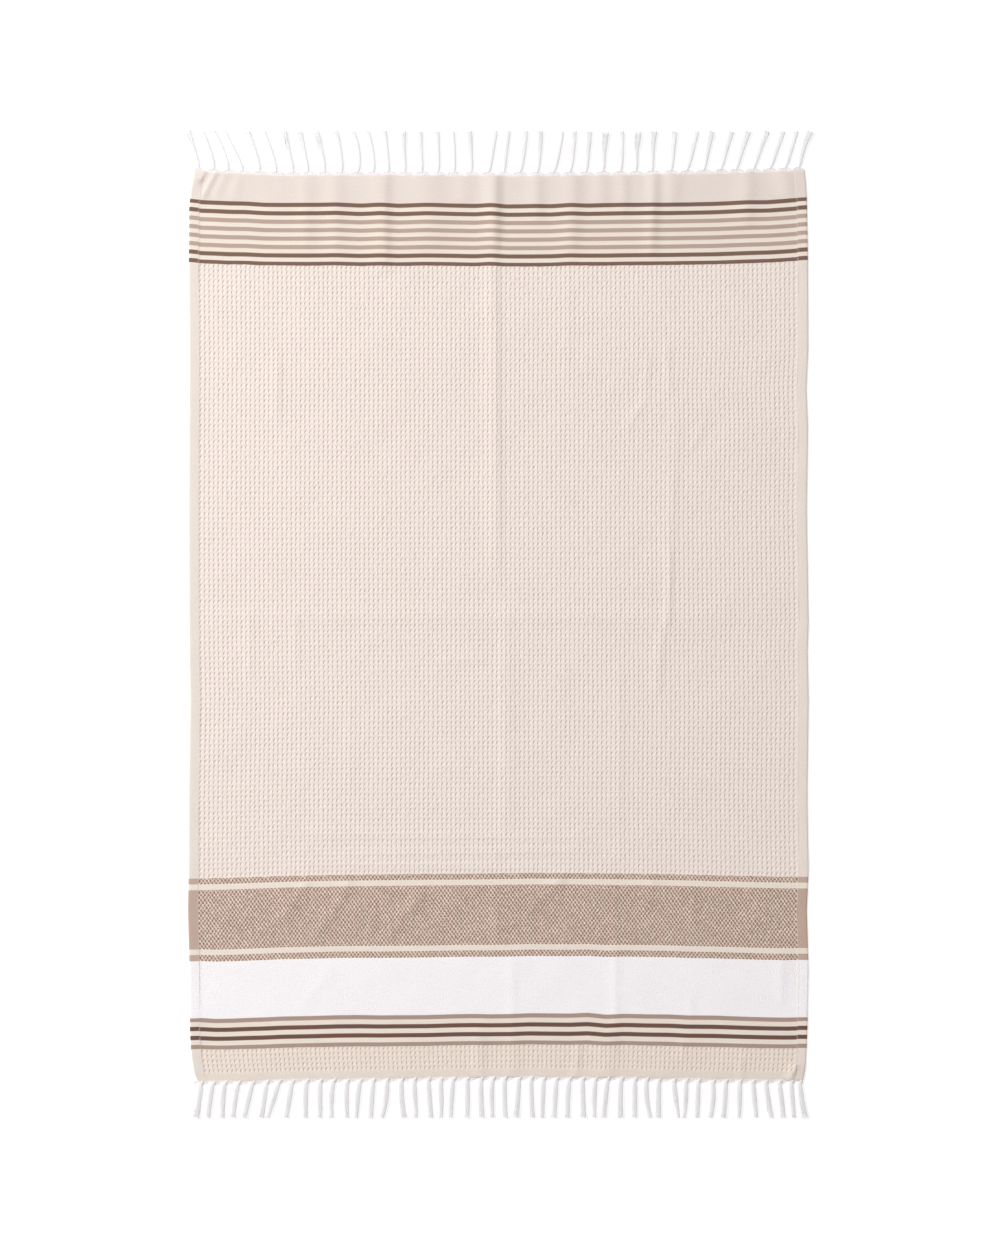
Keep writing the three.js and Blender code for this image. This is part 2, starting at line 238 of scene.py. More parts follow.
BOTTOM_STRANDS = [
    (-481, -490, 2, 14), (-461, -469, -1, 9), (-442, -446, -1, 9), (-420, -429, -1, 10),
    (-397, -411, 0, 10), (-374, -383, 0, 11), (-354, -373, 0, 7), (-333, -343, 0, 9),
    (-310, -311, -1, 9), (-288, -288, 0, 9), (-266, -269, -2, 8), (-244, -244, -1, 9),
    (-223, -229, -1, 8), (-202, -206, 0, 10), (-180, -188, 3, 9), (-156, -151, -2, 11),
    (-136, -132, 0, 8), (-113, -108, 0, 10), (-93, -92, 1, 8), (-72, -76, -1, 9),
    (-50, -50, 1, 10), (-27, -25, -1, 11), (-8, -8, -2, 9), (11, 13, -1, 10), (34, 29, 1, 12),
    (54, 57, -1, 10), (74, 72, 0, 9), (95, 91, 0, 10), (116, 113, -1, 10), (137, 139, 0, 11),
    (158, 157, -1, 8), (178, 171, 0, 10), (200, 199, -1, 11), (222, 222, 0, 10),
    (241, 248, -3, 9), (261, 260, 0, 11), (285, 294, -1, 6.5), (305, 302, 1, 6.5),
    (325, 323, 0, 9), (348, 344, 3, 9), (369, 365, 1, 11), (392, 391, 0, 8), (413, 419, 0, 8),
    (434, 444, -1, 9), (456, 463, 0, 10), (475, 480, 0, 9), (489, 498, -1, 12),
]

# The tables are centred on the cloth; the frame is centred on the whole towel.
top_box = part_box("fringe_top")
PLACE = np.array([
    top_box[1].x / MM - (TOP_STRANDS[-1][1] + TOP_STRANDS[-1][3] / 2),
    top_box[1].y / MM - TOP_TIP,
    0.0,
])


def placed(points):
    """Points on the cloth, in millimetres, as places in the frame, in metres."""
    return (np.asarray(points, float) + PLACE) * MM


def added(name, data):
    """A new object in the scene that shows a mesh, a curve, a light or a camera."""
    made = bpy.data.objects.new(name, data)
    bpy.context.scene.collection.objects.link(made)
    return made


# ---------------------------------------------------------------- materials

def linear(colour):
    """A colour written as six hexadecimal digits, as the linear RGBA that sockets take."""
    parts = [int(colour[i : i + 2], 16) / 255 for i in (0, 2, 4)]
    return tuple(p / 12.92 if p <= 0.04045 else ((p + 0.055) / 1.055) ** 2.4 for p in parts) + (1.0,)


class Tree:
    """Adds nodes to a shader or geometry tree, with their inputs given as values or sockets."""

    def __init__(self, tree):
        self.tree = tree

    def feed(self, socket, value):
        if isinstance(value, bpy.types.NodeSocket):
            self.tree.links.new(value, socket)
        else:
            socket.default_value = value

    def node(self, kind, inputs=(), **settings):
        made = self.tree.nodes.new(kind)
        for name, value in settings.items():
            setattr(made, name, value)
        for key, value in dict(inputs).items():
            self.feed(made.inputs[key], value)
        return made

    def geometry(self, kind, inputs=(), **settings):
        """What a geometry node puts out first."""
        return self.node("GeometryNode" + kind, inputs, **settings).outputs[0]

    def math(self, operation, *values, clamp=False):
        inputs = dict(enumerate(values))
        return self.node("ShaderNodeMath", inputs, operation=operation, use_clamp=clamp).outputs[0]

    def vector(self, operation, *values, **named):
        inputs = {**dict(enumerate(values)), **named}
        return self.node("ShaderNodeVectorMath", inputs, operation=operation).outputs[0]

    def split(self, vector):
        """The x, y and z of a vector."""
        return self.node("ShaderNodeSeparateXYZ", {0: vector}).outputs

    def joined(self, x=0.0, y=0.0, z=0.0):
        return self.node("ShaderNodeCombineXYZ", {0: x, 1: y, 2: z}).outputs[0]

    def noise(self, vector, scale, detail, output="Fac"):
        inputs = {"Vector": vector, "Scale": scale, "Detail": detail}
        return self.node("ShaderNodeTexNoise", inputs).outputs[output]

    def mix(self, share, a, b):
        """A colour between a and b."""
        return self.node("ShaderNodeMix", {"Factor": share, 6: a, 7: b}, data_type="RGBA").outputs[2]

    def smooth(self, value, low, high):
        """0 below low, 1 above high, and an even curve between."""
        inputs = {"Value": value, "From Min": low, "From Max": high}
        return self.node("ShaderNodeMapRange", inputs, interpolation_type="SMOOTHSTEP").outputs[0]


def shader_group(name, build, **inputs):
    """A shader node group. inputs are its numbers, besides the weave's coordinates; a colour has
    no value of its own. build gets the tree and all inputs, and returns the outputs by name."""
    group = bpy.data.node_groups.new(name, "ShaderNodeTree")
    tree = Tree(group)
    start = tree.node("NodeGroupInput")
    end = tree.node("NodeGroupOutput")
    group.interface.new_socket("Weave", in_out="INPUT", socket_type="NodeSocketVector")
    for key, value in inputs.items():
        kind = "NodeSocketFloat" if value is not None else "NodeSocketColor"
        made = group.interface.new_socket(key.replace("_", " "), in_out="INPUT", socket_type=kind)
        if value is not None:
            made.default_value = value
    for key, value in build(tree, start.outputs).items():
        kind = "NodeSocketColor" if key == "Colour" else "NodeSocketFloat"
        group.interface.new_socket(key, in_out="OUTPUT", socket_type=kind)
        tree.feed(end.inputs[key], value)
    return group


def build_weave(tree, given):
    """Plain weave: warp and weft yarns that pass over each other in turn."""
    split = tree.split(given["Weave"])
    across = tree.math("DIVIDE", split[0], given["Warp Pitch"])
    down = tree.math("DIVIDE", split[1], given["Weft Pitch"])
    warp = tree.math("ABSOLUTE", tree.math("SINE", tree.math("MULTIPLY", across, math.pi)))
    weft = tree.math("ABSOLUTE", tree.math("SINE", tree.math("MULTIPLY", down, math.pi)))
    cells = tree.math("ADD", tree.math("FLOOR", across), tree.math("FLOOR", down))
    over = tree.math("PINGPONG", cells, 1.0)
    under = tree.math("SUBTRACT", 1.0, over)
    height = tree.math("MULTIPLY_ADD", warp, over, tree.math("MULTIPLY", weft, under))
    return {"Height": height, "Warp On Top": over}


def build_cotton(tree, given):
    """The slight unevenness of dyed cotton: slubs along the weft, soft patches, grain and fibres."""
    weave = given["Weave"]
    along_weft = tree.vector("MULTIPLY", weave, (60.0, 900.0, 1.0))
    tone = 1.0
    for share, vector, scale, detail in (
        ("Slubs", along_weft, 1.0, 2.0),
        ("Patches", weave, 26.0, 3.0),
        ("Grain", weave, 520.0, 2.0),
        ("Fibres", weave, 1400.0, 1.0),
    ):
        centred = tree.math("SUBTRACT", tree.noise(vector, scale, detail), 0.5)
        tone = tree.math("MULTIPLY_ADD", centred, given[share], tone)
    return {"Colour": tree.vector("SCALE", given["Colour"], Scale=tone)}


def build_stripes(tree, given):
    """Weft stripes: where a stripe lies, and which one it is, counted from the top."""
    ragged = tree.math("SUBTRACT", tree.noise(given["Weave"], 700.0, 1.0), 0.5)
    down = tree.math("SUBTRACT", tree.split(given["Weave"])[1], given["Start"])
    down = tree.math("MULTIPLY_ADD", ragged, given["Ragged"], down)
    steps = tree.math("DIVIDE", down, given["Pitch"])
    inside = tree.math("MULTIPLY", tree.math("FRACT", steps), given["Pitch"])
    half = tree.math("MULTIPLY", given["Width"], 0.5)
    from_middle = tree.math("ABSOLUTE", tree.math("SUBTRACT", inside, half))
    outside = tree.math("ADD", half, given["Soft"])
    within = tree.math("SUBTRACT", half, given["Soft"])
    return {"Stripe": tree.smooth(from_middle, outside, within), "Number": tree.math("FLOOR", steps)}


def build_eyes(tree, given):
    """Bird's-eye weave: light warp floats cross in slanting lines, with a dark eye in each mesh.
    Across is the step between the eyes of a row, Down the step between rows. In patches, one
    slant stands out more than the other."""
    weave = given["Weave"]
    line_core = 0.04  # half the width of a float's brightest part
    weaker = 0.35  # how much the standing-back slant loses
    one_line, crossing = 0.74, 0.6  # how light a line is, and how much a crossing adds
    wobble = tree.vector("SUBTRACT", tree.noise(weave, 450.0, 1.0, "Color"), (0.5, 0.5, 0.5))
    moved = tree.vector("ADD", weave, tree.vector("SCALE", wobble, Scale=given["Uneven"]))
    split = tree.split(moved)
    x = tree.math("DIVIDE", split[0], given["Across"])
    y = tree.math("DIVIDE", tree.math("SUBTRACT", split[1], given["Start"]), given["Down"])
    y = tree.math("MULTIPLY", y, 0.5)
    lean = tree.smooth(tree.noise(weave, 75.0, 1.0), 0.44, 0.68)
    shares = {
        "ADD": tree.math("MULTIPLY_ADD", lean, weaker, 1.0 - weaker),
        "SUBTRACT": tree.math("MULTIPLY_ADD", lean, -weaker, 1.0),
    }
    lines = []
    for slant, share in shares.items():
        from_line = tree.math("PINGPONG", tree.math(slant, x, y), 0.5)
        line = tree.smooth(from_line, given["Line Reach"], line_core)
        lines.append(tree.math("MULTIPLY", line, share))
    both = tree.math("MULTIPLY", *lines)
    either = tree.math("MAXIMUM", *lines)
    light = tree.math("MULTIPLY_ADD", either, one_line, tree.math("MULTIPLY", both, crossing))
    return {"Float": light}


def build_waffle(tree, given):
    """Waffle weave: each cell has a slanting hollow to the left of its middle, with soft floats round
    it, and no two cells quite alike.
    The hollow is darkened with painted shade and the float to its right lightened with a painted
    highlight, as under light from the left; Height is the relief for the bump. Sizes are shares of a
    cell."""
    hollow_x, hollow_y, strays = 0.30, 0.38, 0.16
    least_slant, more_slant = 0.25, 0.35
    half_wide, half_tall = 0.155, 0.31
    float_x = 0.33  # from the hollow to the float on its right, which gets a painted highlight
    # How dark the cloth is between the hollows, and what each of these adds or takes away: painted
    # shade in the hollow, a painted highlight on the float, and the fine line between rows.
    ground_tone, hollow_shade_tone, float_highlight_tone, line_tone = 0.22, 0.84, -0.22, 0.1
    split = tree.split(given["Weave"])
    column = tree.math("DIVIDE", tree.math("SUBTRACT", split[0], given["Left"]), given["Across"])
    row = tree.math("DIVIDE", tree.math("SUBTRACT", split[1], given["Start"]), given["Down"])
    cell = tree.joined(tree.math("FLOOR", column), tree.math("FLOOR", row))
    chance = tree.node("ShaderNodeTexWhiteNoise", {"Vector": cell}, noise_dimensions="2D").outputs
    odd = tree.node("ShaderNodeSeparateColor", {0: chance["Color"]}).outputs
    middle_x = tree.math("MULTIPLY_ADD", odd[0], strays, hollow_x)
    middle_y = tree.math("MULTIPLY_ADD", odd[1], strays, hollow_y)
    x = tree.math("SUBTRACT", tree.math("FRACT", column), middle_x)
    y = tree.math("SUBTRACT", tree.math("FRACT", row), middle_y)
    x = tree.math("MULTIPLY_ADD", y, tree.math("MULTIPLY_ADD", odd[2], more_slant, least_slant), x)
    wide = tree.math("DIVIDE", x, half_wide)
    tall = tree.math("DIVIDE", y, half_tall)
    squares = tree.math("MULTIPLY_ADD", wide, wide, tree.math("MULTIPLY", tall, tall))
    hollow = tree.smooth(tree.math("SQRT", squares), 1.5, 0.4)
    depth = tree.math("MULTIPLY_ADD", chance["Value"], 0.6, 0.4)
    beside = tree.smooth(tree.math("ABSOLUTE", tree.math("SUBTRACT", x, float_x)), 0.22, 0.04)
    level = tree.smooth(tree.math("ABSOLUTE", tree.math("SUBTRACT", y, 0.02)), 0.42, 0.2)
    painted_highlight = tree.math("MULTIPLY", beside, level)
    # A fine line lies between the rows.
    line = tree.smooth(tree.math("PINGPONG", tree.math("ADD", row, 0.08), 0.5), 0.13, 0.03)
    # The hollow's painted shade, less the float's painted highlight, with the fine line between rows.
    dark = tree.math("MULTIPLY", hollow, depth)
    dark = tree.math("MULTIPLY_ADD", dark, hollow_shade_tone, ground_tone)
    dark = tree.math("MULTIPLY_ADD", painted_highlight, float_highlight_tone, dark)
    dark = tree.math("MULTIPLY_ADD", line, line_tone, dark, clamp=True)
    return {"Painted Shading": dark, "Height": tree.math("SUBTRACT", 1.0, hollow)}


WEAVE = shader_group("plain_weave", build_weave, Warp_Pitch=0.0011, Weft_Pitch=0.0009)
COTTON = shader_group(
    "cotton_tone", build_cotton, Colour=None, Slubs=0.06, Patches=0.03, Grain=0.26, Fibres=0.1,
)
STRIPES = shader_group(
    "weft_stripes", build_stripes, Start=0.0, Pitch=0.0135, Width=0.006, Soft=0.0004, Ragged=0.0008,
)
EYES = shader_group(
    "birdseye_floats", build_eyes,
    Start=0.0, Across=0.00597, Down=0.00418, Line_Reach=0.27, Uneven=0.0034,
)
WAFFLE = shader_group(
    "waffle_cells", build_waffle,
    Left=-FIELD * MM, Start=0.0, Across=2 * FIELD / CELLS_ACROSS * MM, Down=0.00826,
)

BEIGE = linear("EBDFD8")
SMOOTH_BEIGE = linear("EBDFD7")
WARM_BEIGE = linear("E9DBD0")
SMOOTH_WARM_BEIGE = linear("EEE1D6")
# The colour towards which the waffle is darkened: mostly painted shade in its hollows, less on the
# floats, which get a painted highlight.
HOLLOW_SHADE_BEIGE = linear("D3C4BA")
HEM_BEIGE = linear("ECE1D8")
HEM_BROWN = linear("C4AB9D")
HEM_THREAD = linear("E8DDD2")
CREAM = linear("F0E3D8")
WHITE = linear("F9F5F7")
TOP_TAUPE = linear("B69E92")
TOP_BROWN = linear("6F4F3D")
LOWER_TAUPE = linear("A78E82")
LOWER_BROWN = linear("5D3525")
BAND_BROWN = linear("94796A")
FLOAT_CREAM = linear("F8E5D8")
YARN_WHITE = linear("F7F5F7")
WARP_WHITE = linear("F5F1F0")
KNOT_WHITE = linear("F9F5F4")

# Yarn pitches and the depths of relief in the materials, in metres.
HEM_WARP, HEM_WEFT = 0.0012, 0.0008
STRIPE_WARP, STRIPE_WEFT = 0.0022, 0.0017
BARE_WARP = 0.0018  # how far the white warp shows at the cloth's two ends
FRAY, FADE = 0.008, 0.0012  # how unevenly it ends, and how softly
PLAIN_DEPTH = 0.00018
END_DEPTH = 0.0002
STRIPE_DEPTH = 0.0003
FLOAT_DEPTH = 0.0004
WAFFLE_DEPTH = 0.0006
CREPE_DEPTH = 0.0016
TWIST_DEPTH = 0.0001
TWIST = 2600.0  # how far a yarn's grooves turn in a metre, in radians
WARP_SPECKS = 0.14  # how much of the cream warp shows in the dyed weft
PEBBLES = 520.0  # the fineness of the crepe


class Cloth:
    """One cotton finish: a material with its weave coordinates, colour and bump."""

    def __init__(self, name):
        self.material = bpy.data.materials.new(name)
        self.material.use_nodes = True
        self.material.node_tree.nodes.clear()
        self.tree = Tree(self.material.node_tree)
        self.weave = self.tree.node("ShaderNodeUVMap", uv_map="weave").outputs[0]

    def group(self, group, **inputs):
        named = {key.replace("_", " "): value for key, value in inputs.items()}
        named["Weave"] = self.weave
        return self.tree.node("ShaderNodeGroup", named, node_tree=group).outputs

    def finish(self, colour, height, depth, grain=0.26, patches=0.03, sheen=0.15, glow=0.0):
        """Joins the colour and the yarns' height, as deep as depth in metres, to the shader. glow is
        painted light: an even emission that brightens the surface, standing in for the light that comes
        through loose white fibres."""
        cotton = self.group(COTTON, Colour=colour, Grain=grain, Patches=patches)
        relief = {"Strength": 1.0, "Distance": depth, "Height": height}
        shader = self.tree.node("ShaderNodeBsdfPrincipled", {
            "Base Color": cotton["Colour"],
            "Roughness": 0.92,
            "Specular IOR Level": 0.2,
            "Sheen Weight": sheen,
            "Sheen Roughness": 0.5,
            "Emission Color": (1.0, 1.0, 1.0, 1.0),
            "Emission Strength": glow,
            "Normal": self.tree.node("ShaderNodeBump", relief).outputs[0],
        })
        self.tree.node("ShaderNodeOutputMaterial", {"Surface": shader.outputs[0]})
        return self.material


def plain_cloth(name, colour, warp=0.0011, weft=0.0009):
    cloth = Cloth(name)
    weave = cloth.group(WEAVE, Warp_Pitch=warp, Weft_Pitch=weft)
    return cloth.finish(colour, weave["Height"], PLAIN_DEPTH)


def end_cloth(name, colour, edge):
    """Plain weave at one of the cloth's ends, edge down the cloth, where the white warp shows
    raggedly."""
    cloth = Cloth(name)
    tree = cloth.tree
    warp_ends = tree.vector("MULTIPLY", cloth.weave, (260.0, 60.0, 1.0))
    ragged = tree.math("SUBTRACT", tree.noise(warp_ends, 1.0, 2.0), 0.5)
    from_end = tree.math("ABSOLUTE", tree.math("SUBTRACT", tree.split(cloth.weave)[1], edge))
    from_end = tree.math("MULTIPLY_ADD", ragged, -FRAY, from_end)
    white = tree.smooth(from_end, BARE_WARP, BARE_WARP - FADE)
    weave = cloth.group(WEAVE, Warp_Pitch=HEM_WARP, Weft_Pitch=HEM_WEFT)
    return cloth.finish(tree.mix(white, colour, WHITE), weave["Height"], END_DEPTH)


def striped_cloth(name, band, taupe, brown, middle, reach, inside):
    """Stripes on cream. The brown ones lie within reach of the middle one if inside is true, and
    beyond it if not."""
    cloth = Cloth(name)
    tree = cloth.tree
    pitch, width = STRIPE_PITCH[band] * MM, STRIPE_WIDTH[band] * MM
    stripes = cloth.group(STRIPES, Start=band_start(band) * MM, Pitch=pitch, Width=width)
    away = tree.math("ABSOLUTE", tree.math("SUBTRACT", stripes["Number"], middle))
    is_brown = tree.math("LESS_THAN" if inside else "GREATER_THAN", away, reach)
    dyed = tree.mix(is_brown, taupe, brown)
    weave = cloth.group(WEAVE, Warp_Pitch=STRIPE_WARP, Weft_Pitch=STRIPE_WEFT)
    specks = tree.math("MULTIPLY", weave["Warp On Top"], WARP_SPECKS)
    colour = tree.mix(stripes["Stripe"], CREAM, tree.mix(specks, dyed, CREAM))
    return cloth.finish(colour, weave["Height"], STRIPE_DEPTH)


def eyed_cloth(name, band):
    cloth = Cloth(name)
    floats = cloth.group(EYES, Start=band_start(band) * MM)["Float"]
    colour = cloth.tree.mix(floats, BAND_BROWN, FLOAT_CREAM)
    return cloth.finish(colour, floats, FLOAT_DEPTH, grain=1.0, patches=0.2)


def waffle_cloth(name, band, colour):
    cloth = Cloth(name)
    cells = cloth.group(WAFFLE, Start=band_start(band) * MM, Down=cell_length(band) * MM)
    # Painted shade in the hollows and a painted highlight on the floats to their right, as under light
    # from the left.
    colour = cloth.tree.mix(cells["Painted Shading"], colour, HOLLOW_SHADE_BEIGE)
    return cloth.finish(colour, cells["Height"], WAFFLE_DEPTH, grain=0.45)


def crepe_cloth(name, colour):
    """Fine crepe: a pebbled surface with no visible rows."""
    cloth = Cloth(name)
    return cloth.finish(colour, cloth.tree.noise(cloth.weave, PEBBLES, 2.0), CREPE_DEPTH)


def yarn_cloth(name, colour, glow=0.0):
    """Cotton yarn, its own twist showing as slanting grooves, with as much painted glow as glow gives.
    """
    cloth = Cloth(name)
    tree = cloth.tree
    split = tree.split(cloth.weave)
    turn = tree.math("MULTIPLY", split[0], 2 * math.pi)
    turn = tree.math("MULTIPLY_ADD", split[1], TWIST, turn)
    groove = tree.math("ABSOLUTE", tree.math("SINE", turn))
    return cloth.finish(colour, groove, TWIST_DEPTH, sheen=0.3, glow=glow)


MATERIALS = {
    "heading": end_cloth("heading_weave", SMOOTH_BEIGE, 0.0),
    "top_stripes": striped_cloth(
        "top_stripe_weave", "top_stripes", TOP_TAUPE, TOP_BROWN, middle=3.5, reach=2, inside=False,
    ),
    "waffle": waffle_cloth("waffle_weave", "waffle", BEIGE),
    "eyelet_stripe": eyed_cloth("eyelet_stripe_weave", "eyelet_stripe"),
    "plain_line": plain_cloth("plain_line_weave", CREAM),
    "birdseye": eyed_cloth("birdseye_weave", "birdseye"),
    "crepe": crepe_cloth("crepe_weave", WHITE),
    "bottom_stripes": striped_cloth(
        "bottom_stripe_weave", "bottom_stripes", LOWER_TAUPE, LOWER_BROWN,
        middle=1.5, reach=1, inside=True,
    ),
    "end_waffle": waffle_cloth("end_waffle_weave", "end_waffle", WARM_BEIGE),
    "plain_end": end_cloth("plain_end_weave", SMOOTH_WARM_BEIGE, CLOTH_LENGTH * MM),
    "hem": plain_cloth("hem_weave", HEM_BEIGE, HEM_WARP, HEM_WEFT),
    "hem_brown": plain_cloth("brown_hem_weave", HEM_BROWN, HEM_WARP, HEM_WEFT),
}
MATERIAL_NUMBER = {kind: number for number, kind in enumerate(MATERIALS)}
# The hems beside these bands have a weave of their own.
HEM_MATERIAL = {
    "waffle": "hem", "end_waffle": "hem", "birdseye": "hem_brown", "eyelet_stripe": "hem_brown",
}
# The fringe's yarns, warp ends and knots glow a little: painted light, an even emission that brightens
# them.
YARN = yarn_cloth("white_yarn", YARN_WHITE, glow=0.04)
WARP = yarn_cloth("warp_yarn", WARP_WHITE, glow=0.03)
KNOT = yarn_cloth("knotted_yarn", KNOT_WHITE, glow=0.04)
THREAD = yarn_cloth("hem_thread", HEM_THREAD)

# ---------------------------------------------------------------- the woven cloth

# Heights of the waffle above and below plain cloth, and how unlike each other they are.
WAFFLE_CROSSING = 0.2
WAFFLE_RIDGE = 0.12
WAFFLE_HOLLOW = -0.3
RIDGE_SPREAD = 0.05
HOLLOW_SPREAD = 0.12
HOLLOW_ASIDE = -1.1  # the hollows sit a little up and to the left of their cells
HOLLOW_UP = 0.5
CELL_STRAY = 0.15  # how far the cells' points stray from even rows and columns
REFERENCE = 3  # the column along which lengths down the cloth are true
UNDER_BLOCK = 10  # rows and columns of the upper face over one face of the underside
HEM_SHIFT = 0.9  # how far down the cloth the weave lies out of step in a hem


def crease_height(x, y):
    """The height of all creases together, for arrays of places on the cloth."""
    height = np.zeros_like(x)
    for cx, cy, length, turn, left, right, rise in CREASES:
        angle = math.radians(turn)
        dx = x - cx
        dy = y - cy
        along = (dx * math.sin(angle) + dy * math.cos(angle)) / (length / 2)
        aside = dx * math.cos(angle) - dy * math.sin(angle)
        aside = aside / np.where(aside < 0, left, right)
        ridge = rise * (1 - along**4) * np.exp(-2 * aside**2)
        height += np.where(np.abs(along) < 1, ridge, 0)
    return height


def unevenness(x, y, seed, waves, longest, shortest, height):
    """Low soft waves in many directions, for cloth that never lies quite flat."""
    rng = np.random.default_rng(seed)
    total = np.zeros_like(x)
    for _ in range(waves):
        length = rng.uniform(shortest, longest)
        angle = rng.uniform(0, math.pi)
        phase = rng.uniform(0, 2 * math.pi)
        total += np.cos((x * math.cos(angle) + y * math.sin(angle)) * 2 * math.pi / length + phase)
    return height * total / math.sqrt(waves)


def cloth_rows():
    """Each row of points: how far down the cloth it lies, and its number within a waffle band,
    or -1 outside one. Also the weave between each row and the next."""
    down = [0.0]
    cell_row = [-1]
    weaves = []
    for weave, length, rows in BANDS:
        cells = weave.endswith("waffle")
        if cells:
            cell_row[-1] = 0
        for i in range(1, rows + 1):
            down.append(down[-1] + length / rows)
            cell_row.append(i if cells else -1)
            weaves.append(weave)
    return np.array(down), np.array(cell_row), weaves


def stripe_rows(down, weaves):
    """Moves the rows in the striped bands onto the stripes' edges and middles."""
    moved = down.copy()
    for band, pitch in STRIPE_PITCH.items():
        rows = [i for i, weave in enumerate(weaves) if weave == band]
        width = STRIPE_WIDTH[band]
        places = []
        for stripe in range(len(rows)):
            left = band_start(band) + stripe * pitch
            places += [left, left + width / 2, left + width, left + (width + pitch) / 2]
        for row, place in zip(rows, places):
            moved[row] = place
    return moved


def cloth_columns():
    """Each column of points: its place across the cloth, and its number within the waffle
    field, or -1 in a hem."""
    field = np.linspace(-FIELD, FIELD, 2 * CELLS_ACROSS + 1)
    hem = HEM_SECTION["from_edge"][:-1]
    across = np.concatenate([-HALF + hem, field, HALF - hem[::-1]])
    number = np.full(len(across), -1)
    number[len(hem) : len(hem) + len(field)] = np.arange(len(field))
    return across, number


def scallop(x):
    """How far the top edge stands out at each strand's root, and in between them."""
    roots = [root for root, *_ in TOP_STRANDS]
    middles = [(a + b) / 2 for a, b in zip(roots, roots[1:])]
    places = sorted(roots + middles)
    turns = np.arange(len(places)) * math.pi
    return SCALLOP * np.cos(np.interp(x, places, turns))


def cloth_places(across, down):
    """Where the grid's points lie on the floor."""
    s, w = np.meshgrid(across, down)
    top = read(ENDS, "x", "top", REFERENCE)
    lines = {  # how far each weft line bows up at each column, by how far down the cloth it lies
        0: read(ENDS, "x", "top", across) - top + scallop(across),
        band_start("top_stripes"): read(WEFT_BOW, "x", "first", across),
        band_start("waffle"): read(WEFT_BOW, "x", "last", across),
        band_start("birdseye"): read(WEFT_BOW, "x", "band", across),
        band_start("bottom_stripes"): read(WEFT_BOW, "x", "lower", across),
        CLOTH_LENGTH: read(ENDS, "x", "bottom", across) - (top - CLOTH_LENGTH),
    }
    at = list(lines)
    bows = np.array(list(lines.values())).T
    y = top - w + np.array([[np.interp(d, at, bow) for bow in bows] for d in down])
    left = read(SIDES, "y", "left", y)
    right = read(SIDES, "y", "right", y)
    x = s - s / HALF * np.where(s < 0, left, right)
    return x, y


def waffle_relief(cell_row, cell_column, rng):
    """Raised ridges round each cell and a hollow in it; also how far their points are moved."""
    rows, columns = np.meshgrid(cell_row, cell_column, indexing="ij")
    inside = (rows >= 0) & (columns >= 0)
    low_row = inside & (rows % 2 == 1)
    low_column = inside & (columns % 2 == 1)
    hollow = low_row & low_column
    relief = np.where(inside, WAFFLE_RIDGE, 0.0)
    relief[inside & ~low_row & ~low_column] = WAFFLE_CROSSING
    relief[hollow] = WAFFLE_HOLLOW
    spread = np.where(hollow, HOLLOW_SPREAD, RIDGE_SPREAD)
    relief += spread * rng.normal(0, 1, rows.shape) * inside
    aside = np.where(low_column, HOLLOW_ASIDE, 0.0)
    aside += CELL_STRAY * rng.normal(0, 1, rows.shape) * inside
    up = np.where(low_row, HOLLOW_UP, 0.0)
    up += CELL_STRAY * rng.normal(0, 1, rows.shape) * inside
    return relief, aside, up


def cloth_heights(x, y, across, relief):
    """The heights of the cloth's upper and lower faces."""
    creases = crease_height(x, y)
    waves = unevenness(x, y, seed=3, waves=40, longest=150, shortest=40, height=0.22)
    from_edge = HALF - np.abs(across)
    extra = (HEM_THICKNESS - CLOTH_THICKNESS) * read(HEM_SECTION, "from_edge", "extra", from_edge)
    thickness = CLOTH_THICKNESS * read(HEM_SECTION, "from_edge", "own", from_edge) + extra
    thickness = np.tile(thickness, (len(x), 1))
    thickness[[0, -1]] *= END_SHARE
    upper = creases + thickness + waves * (thickness > 1) + relief
    return np.maximum(upper, THINNEST), np.maximum(0, creases - LIFT_FREE)


